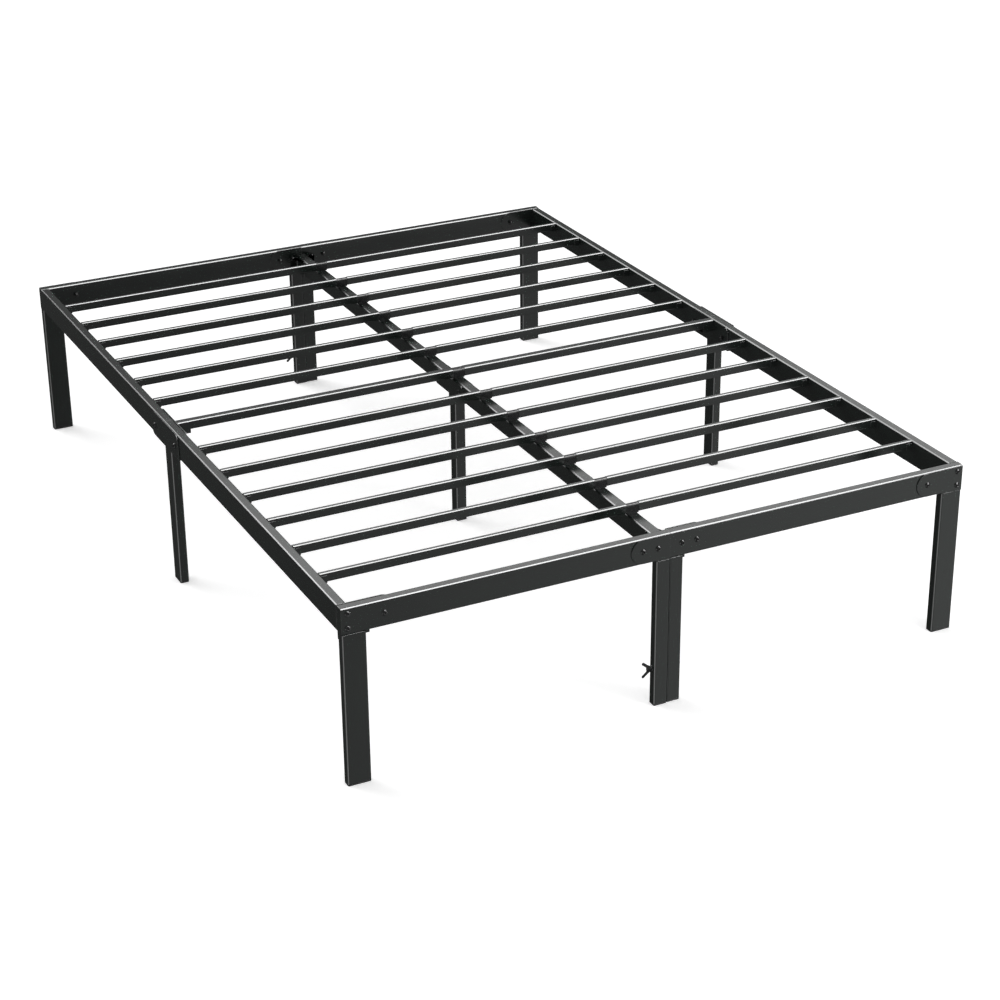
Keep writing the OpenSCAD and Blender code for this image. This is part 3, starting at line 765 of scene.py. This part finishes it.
class BEDFRAME_OT_joiners(PieceOperator, bpy.types.Operator):
    """Makes the moulded joiners that carry the slats over the centre rail"""

    bl_idname = "bedframe.joiners"
    bl_label = "Slat joiners"

    spigot = 14 * MM
    recess = 0.9 * MM
    cap_height = 6 * MM
    peg_radius = 4 * MM
    wall = 1.35 * MM

    def joiner(self, low, high, base):
        """A bridge with a rounded cap and set-back sides, and a spigot for the slat at each end."""
        x0, x1 = low[X] + self.spigot, high[X] - self.spigot
        (y0, y1), top = (low[Y], high[Y]), high[Z]
        lip = top - self.cap_height
        small, tip = 0.25 * MM, self.recess
        body = outline([
            (y0 + tip, base, small), (y1 - tip, base, small), (y1 - tip, lip - tip, small),
            (y1, lip, small), (y1, top, self.sizes.joiner_round),
            (y0, top, self.sizes.joiner_round), (y0, lip, small), (y0 + tip, lip - tip, small),
        ], 8)
        shells = [sheet_metal(body, x0, x1, X, 0.3 * MM)]
        for start, end in ((low[X], x0 + MM), (x1 - MM, high[X])):
            shells.append(bar(
                (start, y0 + self.wall, base + 2 * MM + self.wall),
                (end, y1 - self.wall, top - self.wall), X, 0.8 * MM, 0.6 * MM))
        return shells

    def make(self):
        """One joiner for each row of slats, and a wider one for the cross bar."""
        base = corners_of("centre_rail_foot")[1][Z]
        shells = []
        for low, high in solid_boxes("slat_joiners"):
            shells += self.joiner(low, high, base)
            peg = spun([
                (self.peg_radius - 0.6 * MM, 0.0, 0.0), (self.peg_radius, 0.6 * MM, 0.0),
                (self.peg_radius, base + MM - low[Z], 0.0),
            ], 24)
            seat = ((low[X] + high[X]) / 2, (low[Y] + high[Y]) / 2, low[Z])
            shells.append(placed(peg, seat, (0, 0, 1), (1, 0, 0)))
        self.add("slat_joiner_mouldings", shells, "slat_joiners", "joiner_plastic")
        shells = self.joiner(*corners_of("mid_bar_joiner"), base)
        self.add("mid_bar_joiner_moulding", shells, "mid_bar_joiner", "joiner_plastic")


class BEDFRAME_OT_foot_caps(PieceOperator, bpy.types.Operator):
    """Makes the moulded caps in the ends of the legs"""

    bl_idname = "bedframe.foot_caps"
    bl_label = "Foot caps"

    def make(self):
        """Each cap is a flange between the floor and its leg, with a plug above it in the leg."""
        s = self.sizes
        shells = []
        floor, plug_top = (corner[Z] for corner in corners_of("foot_caps"))
        inset = np.array([s.tube_wall, s.tube_wall, 0.0])
        for name in LEGS:
            low, high = corners_of(name)
            shells.append(bar((low[X], low[Y], floor), (high[X], high[Y], low[Z]), Z,
                              s.leg_corner, s.cap_edge))
            shells.append(bar(low + inset - (0.0, 0.0, MM), (high[X], high[Y], plug_top) - inset,
                              Z, MM, 0.5 * MM))
        self.add("foot_cap_mouldings", shells, "foot_caps", "cap_plastic")


# ---- fasteners ----

HEAD_RADIUS = 6 * MM
HEAD_HEIGHT = 3.4 * MM
SOCKET_FLAT = 2 * MM
SOCKET_DEPTH = 2 * MM
SHANK_RADIUS = 3 * MM
BORE_RADIUS = SHANK_RADIUS + 0.05 * MM
TIP_RADIUS = SHANK_RADIUS - 0.8 * MM


def dome_head():
    """Steps of a domed head above height 0, up to the floor of its hexagon socket.

    The dome goes in by the cosine and up by the sine of its turn.
    """
    rim, last, crown = 0.7 * MM, 1.1, 1.12
    dome = [
        (HEAD_RADIUS * math.cos(t), rim + (HEAD_HEIGHT - rim) * math.sin(t) / math.sin(crown), 0.0)
        for t in np.linspace(0.0, last, 9)
    ]
    top = dome[-1][1]
    return [
        (SHANK_RADIUS, 0.0, 0.0), (HEAD_RADIUS - 0.3 * MM, 0.0, 0.0), (HEAD_RADIUS, 0.25 * MM, 0.0),
        *dome,
        (SOCKET_FLAT + 0.45 * MM, top + 0.02 * MM, 0.0), (SOCKET_FLAT, top - 0.25 * MM, 1.0),
        (SOCKET_FLAT, top - SOCKET_DEPTH, 1.0),
        (0.3 * SOCKET_FLAT, top - SOCKET_DEPTH - 0.3 * MM, 0.0),
    ]


def bolt(length):
    """A domed bolt: a shank down to minus length with a chamfered tip, and a head above height 0."""
    cut = 0.7 * MM
    shank = [
        (TIP_RADIUS, -length, 0.0), (SHANK_RADIUS - cut, -length, 0.0),
        (SHANK_RADIUS, cut - length, 0.0),
    ]
    return spun(shank + dome_head())


def threaded_bolt(length, threaded, pitch):
    """A domed bolt with a thread on its last part.

    On the thread the radius falls and rises as a triangle wave of the height over the pitch less the
    turn, so that the ridge climbs one pitch in each turn.
    """
    around, depth, under_head = 32, 0.45 * MM, 0.2 * MM
    angle = full_turn(around)
    height = np.linspace(-length, threaded - length, 8 * int(threaded / pitch) + 1)[:, None]
    wave = np.abs(np.mod(height / pitch - angle / (2 * np.pi), 1.0) * 2 - 1)
    fade = np.clip(np.minimum(height + length, threaded - length - height) / pitch, 0, 1)
    radius = SHANK_RADIUS - depth * (1 - wave) * fade
    radius[0] = TIP_RADIUS
    radius = np.vstack([radius, np.full((1, around), SHANK_RADIUS)])
    height = np.vstack([height, [[under_head]]])
    return [spun(dome_head(), around), skin(turned(radius, angle, height))]


def nut(flat, height):
    """A hexagon nut whose corners are cut back by a cone at each end.

    Near an end the radius is the smaller of the hexagon's and the cone's.
    """
    around, end_share, slope = 48, 0.97, 1.7
    angle = full_turn(around)
    up = np.array([0.0, 0.2, 0.45, 0.8]) * MM
    level = np.concatenate([up, height - up[::-1]])[:, None]
    cone = flat * end_share + slope * np.minimum(level, height - level)
    bore = np.full((1, around), BORE_RADIUS)
    radius = np.vstack([bore, np.minimum(flat * off_flat(angle), cone), bore])
    level = np.vstack([[[0.0]], level, [[height]]])
    return skin(turned(radius, angle, level), capped=False, closed=True)


class BEDFRAME_OT_bolts(PieceOperator, bpy.types.Operator):
    """Makes the domed bolts of the rails, plates and brackets, and their nuts"""

    bl_idname = "bedframe.bolts"
    bl_label = "Bolts and nuts"

    centre_reach = 5 * MM

    def make(self):
        """A bolt lies along its box's longest side, with its head away from the bed's middle."""
        bolts = []
        for low, high in solid_boxes("rail_bolts"):
            size, middle = high - low, (high + low) / 2
            axis = int(np.argmax(size))
            in_centre = abs(middle[X]) < self.centre_reach
            way = -1 if in_centre or middle[axis] < 0 else 1
            up = way * np.eye(3)[axis]
            origin = middle.copy()
            origin[axis] = (high if way > 0 else low)[axis] - way * HEAD_HEIGHT
            bolts.append(placed(bolt(size[axis] - HEAD_HEIGHT), origin, up, (0, 0, 1)))
        self.add("rail_bolts_domed", bolts, "rail_bolts", "black_hardware")
        nuts = []
        for low, high in solid_boxes("rail_nuts"):
            size, middle = high - low, (high + low) / 2
            axis = int(np.argmin(size))
            up, side = np.eye(3)[[axis, np.argmax(size)]]
            origin = middle.copy()
            origin[axis] = low[axis]
            flat = np.sort(size)[1] / 2
            nuts.append(placed(nut(flat, size[axis]), origin, up, side))
        self.add("rail_nuts_hexagon", nuts, "rail_nuts", "black_hardware")


def wing(hub_radius, height, reach):
    """One wing of a wing nut, in the plane of local X and Z: a blade swept from the hub to a round ear.

    The blade's middle line runs straight from the hub to the ear's centre. Across it lies a flattened
    ellipse whose width narrows to a waist and widens again into the ear, where both width and
    thickness close by the square root of one minus the square of the way past the ear's centre.
    """
    ear = 3.2 * MM
    start = np.array([0.55 * hub_radius, 0.0, 4.3 * MM])
    end = np.array([reach - ear, 0.0, height - ear])
    line = end - start
    length = np.linalg.norm(line)
    ahead = line / length
    across = np.array([-ahead[2], 0.0, ahead[0]])
    share = np.concatenate([
        np.linspace(0.0, 1.0, 14), 1 + ear / length * np.sin(np.linspace(0.12, 1.5, 9)),
    ])
    past = np.clip((share - 1) * length / ear, 0, 1)
    close = np.sqrt(1 - past ** 2)
    way = np.clip(share, 0, 1)
    root, waist, tip = 3.9, 2.6, 3.2
    width = (root * (1 - way) ** 2 + waist * 2 * way * (1 - way) + tip * way ** 2) * MM * close
    thick = (1.9 - 0.65 * way) * MM * (0.35 + 0.65 * close)
    angle = full_turn(24)
    cosine, sine = np.cos(angle), np.sin(angle)
    flatness = 0.75
    flat_cos = np.sign(cosine) * np.abs(cosine) ** flatness
    flat_sin = np.sign(sine) * np.abs(sine) ** flatness
    centre = start + share[:, None, None] * line
    rings = (centre + width[:, None, None] * flat_cos[:, None] * across
             + thick[:, None, None] * flat_sin[:, None] * np.array([0.0, 1.0, 0.0]))
    return skin(rings[:, ::-1])


class BEDFRAME_OT_wing_bolts(PieceOperator, bpy.types.Operator):
    """Makes the bolts through the middle legs, with their washers and wing nuts"""

    bl_idname = "bedframe.wing_bolts"
    bl_label = "Wing bolts"

    threaded = 30 * MM
    hub_height = 8 * MM
    hub_radius = 6 * MM

    def wing_nut(self, height, reach):
        """A hub that tapers upwards, with a collar at its foot, and a wing on each side."""
        h, r = self.hub_height, self.hub_radius
        bore = BORE_RADIUS
        hub = spun([
            (bore, 0.0, 0.0), (r - 0.4 * MM, 0.0, 0.0), (r, 0.4 * MM, 0.0), (r, 1.5 * MM, 0.0),
            (r - 0.35 * MM, 2.0 * MM, 0.0), (r - 1.1 * MM, h - 0.6 * MM, 0.0),
            (r - 1.6 * MM, h, 0.0), (bore + 0.4 * MM, h, 0.0), (bore, h - 0.5 * MM, 0.0),
        ], 40, closed=True)
        blade = wing(r, height, reach)
        return [hub, blade, half_turned(blade)]

    def hang(self, kind, shells, x, middle, node, slot):
        """Adds a piece that starts at x on a bolt's line, points to the left and is its own body."""
        shells = [placed(s, (x, middle[Y], middle[Z]), (-1, 0, 0), (0, 0, 1)) for s in shells]
        self.add(f"{node}_{kind}", shells, node, slot, node)

    def make(self):
        """The wings stand upright. The left face of the left leg is where the nut and washer lie."""
        bolts = []
        for low, high in solid_boxes("wing_bolts"):
            origin = (high + low) / 2
            origin[X] = high[X] - HEAD_HEIGHT
            length = high[X] - low[X] - HEAD_HEIGHT
            for shell in threaded_bolt(length, self.threaded, self.sizes.thread_pitch):
                bolts.append(placed(shell, origin, (1, 0, 0), (0, 0, 1)))
        self.add("wing_bolts_threaded", bolts, "wing_bolts", "black_hardware")
        for end in ENDS:
            low, high = corners_of(f"wing_washer_{end}")
            middle = (high + low) / 2
            radius, thick = (high[Z] - low[Z]) / 2, high[X] - low[X]
            edge = 0.25 * MM
            ring = spun([
                (BORE_RADIUS, 0.0, 0.0), (radius - edge, 0.0, 0.0), (radius, edge, 0.0),
                (radius, thick - edge, 0.0), (radius - edge, thick, 0.0), (BORE_RADIUS, thick, 0.0),
            ], 48, closed=True)
            self.hang("ring", [ring], high[X], middle, f"wing_washer_{end}", "plated_steel")
            low, high = corners_of(f"wing_nut_{end}")
            shells = self.wing_nut(high[X] - low[X], (high[Z] - low[Z]) / 2)
            self.hang("casting", shells, high[X], middle, f"wing_nut_{end}", "black_hardware")


class BEDFRAME_OT_hidden_plates(PieceOperator, bpy.types.Operator):
    """Gives the threaded plates inside the side rails their plated finish"""

    bl_idname = "bedframe.hidden_plates"
    bl_label = "Threaded plates"

    def make(self):
        """The CAD solids stay as they are, in a finish of their own."""
        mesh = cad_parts["corner_nut_plates"].data
        mesh.materials.clear()
        mesh.materials.append(finish_named("plated_steel", self.finish))


# ---- the stage ----

LENS = 84.69
CAMERA_PLACE = (-2.07962, -4.44740, 2.35710)
CAMERA_TURN, CAMERA_DIP, CAMERA_ROLL = -26.15, 25.22, -0.56
FLOOR_GLOW = 0.3
FLOOR_GREY = 0.3  # the floor's shade to all but the camera
FILL = 0.65  # the world's strength to matt surfaces
# Each gradient of the studio: direction, range of the product with it, range of strength.
CEILING = ((0.0, 0.0, 1.0), 0.05, 0.60, 0.07, 0.36)
CARDS = [
    ((-0.80, -0.40, -0.45), 0.85, 0.98, 0.0, 1.5),
    ((0.75, -0.45, -0.50), 0.74, 0.98, 0.0, 0.52),
    ((-0.38, 0.76, 0.53), 0.95, 0.985, 0.0, 0.8),
    ((0.40, -0.39, 0.83), 0.945, 0.96, 0.0, 14.0),
]
# Each distant lamp: name, direction from the bed, strength, width in degrees.
DISTANT_LAMPS = [
    ("back_lamp", (-0.38, 0.75, 0.60), 1.2, 40.0),
]
# Each near lamp: name, place, target, width, height, power in watts, whether it lights matt surfaces.
NEAR_LAMPS = [
    ("front_lamp", (1.3, -2.7, 0.8), (0.2, -0.95, 0.3), 0.8, 0.5, 20.0, True),
    ("rear_card", (1.5, 1.7, 2.25), (1.5, 0.0, 2.25), 6.0, 1.9, 38.0, False),
    ("left_card", (-2.5, 1.7, 2.05), (-2.5, 0.0, 2.05), 2.0, 1.7, 42.0, False),
]


def camera_axes():
    """The camera's right, up and back directions from its turn about Z, its dip and its roll."""
    turn, dip, roll = (math.radians(a) for a in (CAMERA_TURN, CAMERA_DIP, CAMERA_ROLL))
    ahead = np.array([
        -math.sin(turn) * math.cos(dip), math.cos(turn) * math.cos(dip), -math.sin(dip)])
    right = unit(np.cross(ahead, (0.0, 0.0, 1.0)))
    up = np.cross(right, ahead)
    return (math.cos(roll) * right + math.sin(roll) * up,
            -math.sin(roll) * right + math.cos(roll) * up, -ahead)


def stand_lamp(lamp, place, target):
    """Stands a lamp at a place and points it at a target."""
    back = unit(np.array(place, float) - np.array(target, float))
    side = unit(np.cross((0.0, 0.0, 1.0), back))
    turn = np.column_stack([side, np.cross(back, side), back])
    matrix = Matrix(turn.tolist()).to_4x4()
    matrix.translation = place
    stand = bpy.data.objects.new(lamp.name, lamp)
    stand.matrix_world = matrix
    bpy.context.scene.collection.objects.link(stand)
    return stand


def mixed(tree, share, first, second):
    """A mix of two shaders by a share, which is all the second where the share is 1."""
    node = tree.nodes.new("ShaderNodeMixShader")
    for source, entry in zip((share, first, second), node.inputs):
        tree.links.new(source, entry)
    return node.outputs[0]


def pale_floor():
    """A pale floor: to the camera a white that glows a little and keeps the bed's shadow."""
    material = bpy.data.materials.new("pale_floor")
    material.use_nodes = True
    tree = material.node_tree
    tree.nodes.clear()
    output = tree.nodes.new("ShaderNodeOutputMaterial")
    grey, white = (tree.nodes.new("ShaderNodeBsdfDiffuse") for _ in range(2))
    grey.inputs["Color"].default_value = (FLOOR_GREY, FLOOR_GREY, FLOOR_GREY, 1.0)
    white.inputs["Color"].default_value = (1.0, 1.0, 1.0, 1.0)
    glow = tree.nodes.new("ShaderNodeEmission")
    glow.inputs["Strength"].default_value = FLOOR_GLOW
    seen = tree.nodes.new("ShaderNodeAddShader")
    tree.links.new(white.outputs[0], seen.inputs[0])
    tree.links.new(glow.outputs[0], seen.inputs[1])
    path = tree.nodes.new("ShaderNodeLightPath")
    surface = mixed(tree, path.outputs["Is Camera Ray"], grey.outputs[0], seen.outputs[0])
    tree.links.new(surface, output.inputs["Surface"])
    return material


def white_world():
    """A world that is white to the camera, an even fill to matt surfaces, and a studio to glossy ones.

    To glossy rays its strength is the sum of a ceiling and several cards of light. Each rises with
    the product of the ray's direction and the card's.
    """
    world = bpy.data.worlds.new("studio")
    world.cycles.sampling_method = "NONE"
    world.use_nodes = True
    tree = world.node_tree
    tree.nodes.clear()
    link = tree.links.new
    path = tree.nodes.new("ShaderNodeLightPath")
    way = tree.nodes.new("ShaderNodeTexCoord").outputs["Generated"]

    def facing(direction, low, high, to_low, to_high):
        dot = tree.nodes.new("ShaderNodeVectorMath")
        dot.operation = "DOT_PRODUCT"
        dot.inputs[1].default_value = direction
        link(way, dot.inputs[0])
        return remap(tree, dot.outputs["Value"], low, high, to_low, to_high)

    def combine(kind, first, second):
        node = tree.nodes.new("ShaderNodeMath")
        node.operation = kind
        link(first, node.inputs[0])
        link(second, node.inputs[1])
        return node.outputs[0]

    studio = facing(*CEILING)
    for card in CARDS:
        studio = combine("ADD", studio, facing(*card))

    matt, reflected, seen = (tree.nodes.new("ShaderNodeBackground") for _ in range(3))
    for shade in (matt, reflected, seen):
        shade.inputs["Color"].default_value = (1.0, 1.0, 1.0, 1.0)
    matt.inputs["Strength"].default_value = FILL
    link(studio, reflected.inputs["Strength"])
    seen.inputs["Strength"].default_value = 1.0

    glossy = combine("MAXIMUM", path.outputs["Is Glossy Ray"], path.outputs["Is Transmission Ray"])
    unseen = mixed(tree, glossy, matt.outputs[0], reflected.outputs[0])
    whole = mixed(tree, path.outputs["Is Camera Ray"], unseen, seen.outputs[0])
    output = tree.nodes.new("ShaderNodeOutputWorld")
    link(whole, output.inputs["Surface"])
    return world


class BEDFRAME_OT_stage(bpy.types.Operator):
    """Makes the floor, the lamps, the white surround and the camera"""

    bl_idname = "bedframe.stage"
    bl_label = "Stage"
    bl_options = {"REGISTER", "UNDO"}

    floor_half = 20.0

    def execute(self, context):
        """The floor lies under the feet. The sun points at the middle of the bed, and each near lamp at
        its own target.
        """
        scene = context.scene
        scene.view_settings.view_transform = "Standard"
        scene.world = white_world()

        half = self.floor_half
        mesh = bpy.data.meshes.new("floor")
        mesh.from_pydata([(-half, -half, 0), (half, -half, 0), (half, half, 0), (-half, half, 0)],
                         [], [(0, 1, 2, 3)])
        mesh.materials.append(pale_floor())
        floor = bpy.data.objects.new("floor", mesh)
        scene.collection.objects.link(floor)
        floor.visible_glossy = False

        for name, direction, strength, width in DISTANT_LAMPS:
            lamp = bpy.data.lights.new(name, "SUN")
            lamp.energy = strength
            lamp.angle = math.radians(width)
            stand_lamp(lamp, direction, (0, 0, 0))
        for name, place, target, width, height, power, matt in NEAR_LAMPS:
            lamp = bpy.data.lights.new(name, "AREA")
            lamp.shape = "RECTANGLE"
            lamp.size = width
            lamp.size_y = height
            lamp.energy = power
            stand_lamp(lamp, place, target).visible_diffuse = matt

        camera = bpy.data.objects.new("camera", bpy.data.cameras.new("camera"))
        camera.data.lens = LENS
        camera.data.sensor_width = 36.0
        camera.data.clip_end = 100.0
        matrix = Matrix(np.column_stack(camera_axes()).tolist()).to_4x4()
        matrix.translation = CAMERA_PLACE
        camera.matrix_world = matrix
        scene.collection.objects.link(camera)
        scene.camera = camera
        return {"FINISHED"}


OPERATORS = [
    BEDFRAME_OT_rails, BEDFRAME_OT_legs, BEDFRAME_OT_slats, BEDFRAME_OT_leg_plates,
    BEDFRAME_OT_rail_brackets, BEDFRAME_OT_end_brackets, BEDFRAME_OT_slat_hooks,
    BEDFRAME_OT_joiners, BEDFRAME_OT_foot_caps, BEDFRAME_OT_bolts, BEDFRAME_OT_wing_bolts,
    BEDFRAME_OT_hidden_plates, BEDFRAME_OT_stage,
]


class BEDFRAME_PT_panel(bpy.types.Panel):
    """The bed frame's panel in the 3D view's sidebar"""

    bl_idname = "BEDFRAME_PT_panel"
    bl_label = "Bed Frame"
    bl_space_type = "VIEW_3D"
    bl_region_type = "UI"
    bl_category = "Bed Frame"

    def draw(self, context):
        """Lists the sizes, the finishes and a button for each operator."""
        for group in (context.scene.bed_frame_sizes, context.scene.bed_frame_finish):
            column = self.layout.column(align=True)
            for name in group.bl_rna.properties.keys():
                if name not in ("rna_type", "name"):
                    column.prop(group, name)
        column = self.layout.column(align=True)
        for operator in OPERATORS:
            column.operator(operator.bl_idname)


CLASSES = [BedFrameSizes, BedFrameFinish, *OPERATORS, BEDFRAME_PT_panel]


def register():
    """Registers the classes and hangs the two groups of properties on the scene."""
    for cls in CLASSES:
        bpy.utils.register_class(cls)
    bpy.types.Scene.bed_frame_sizes = bpy.props.PointerProperty(type=BedFrameSizes)
    bpy.types.Scene.bed_frame_finish = bpy.props.PointerProperty(type=BedFrameFinish)


def unregister():
    """Takes away what register() added."""
    del bpy.types.Scene.bed_frame_finish
    del bpy.types.Scene.bed_frame_sizes
    for cls in reversed(CLASSES):
        bpy.utils.unregister_class(cls)


def main():
    register()
    for operator in OPERATORS:
        group, name = operator.bl_idname.split(".")
        getattr(getattr(bpy.ops, group), name)()


if __name__ == "__main__":
    main()
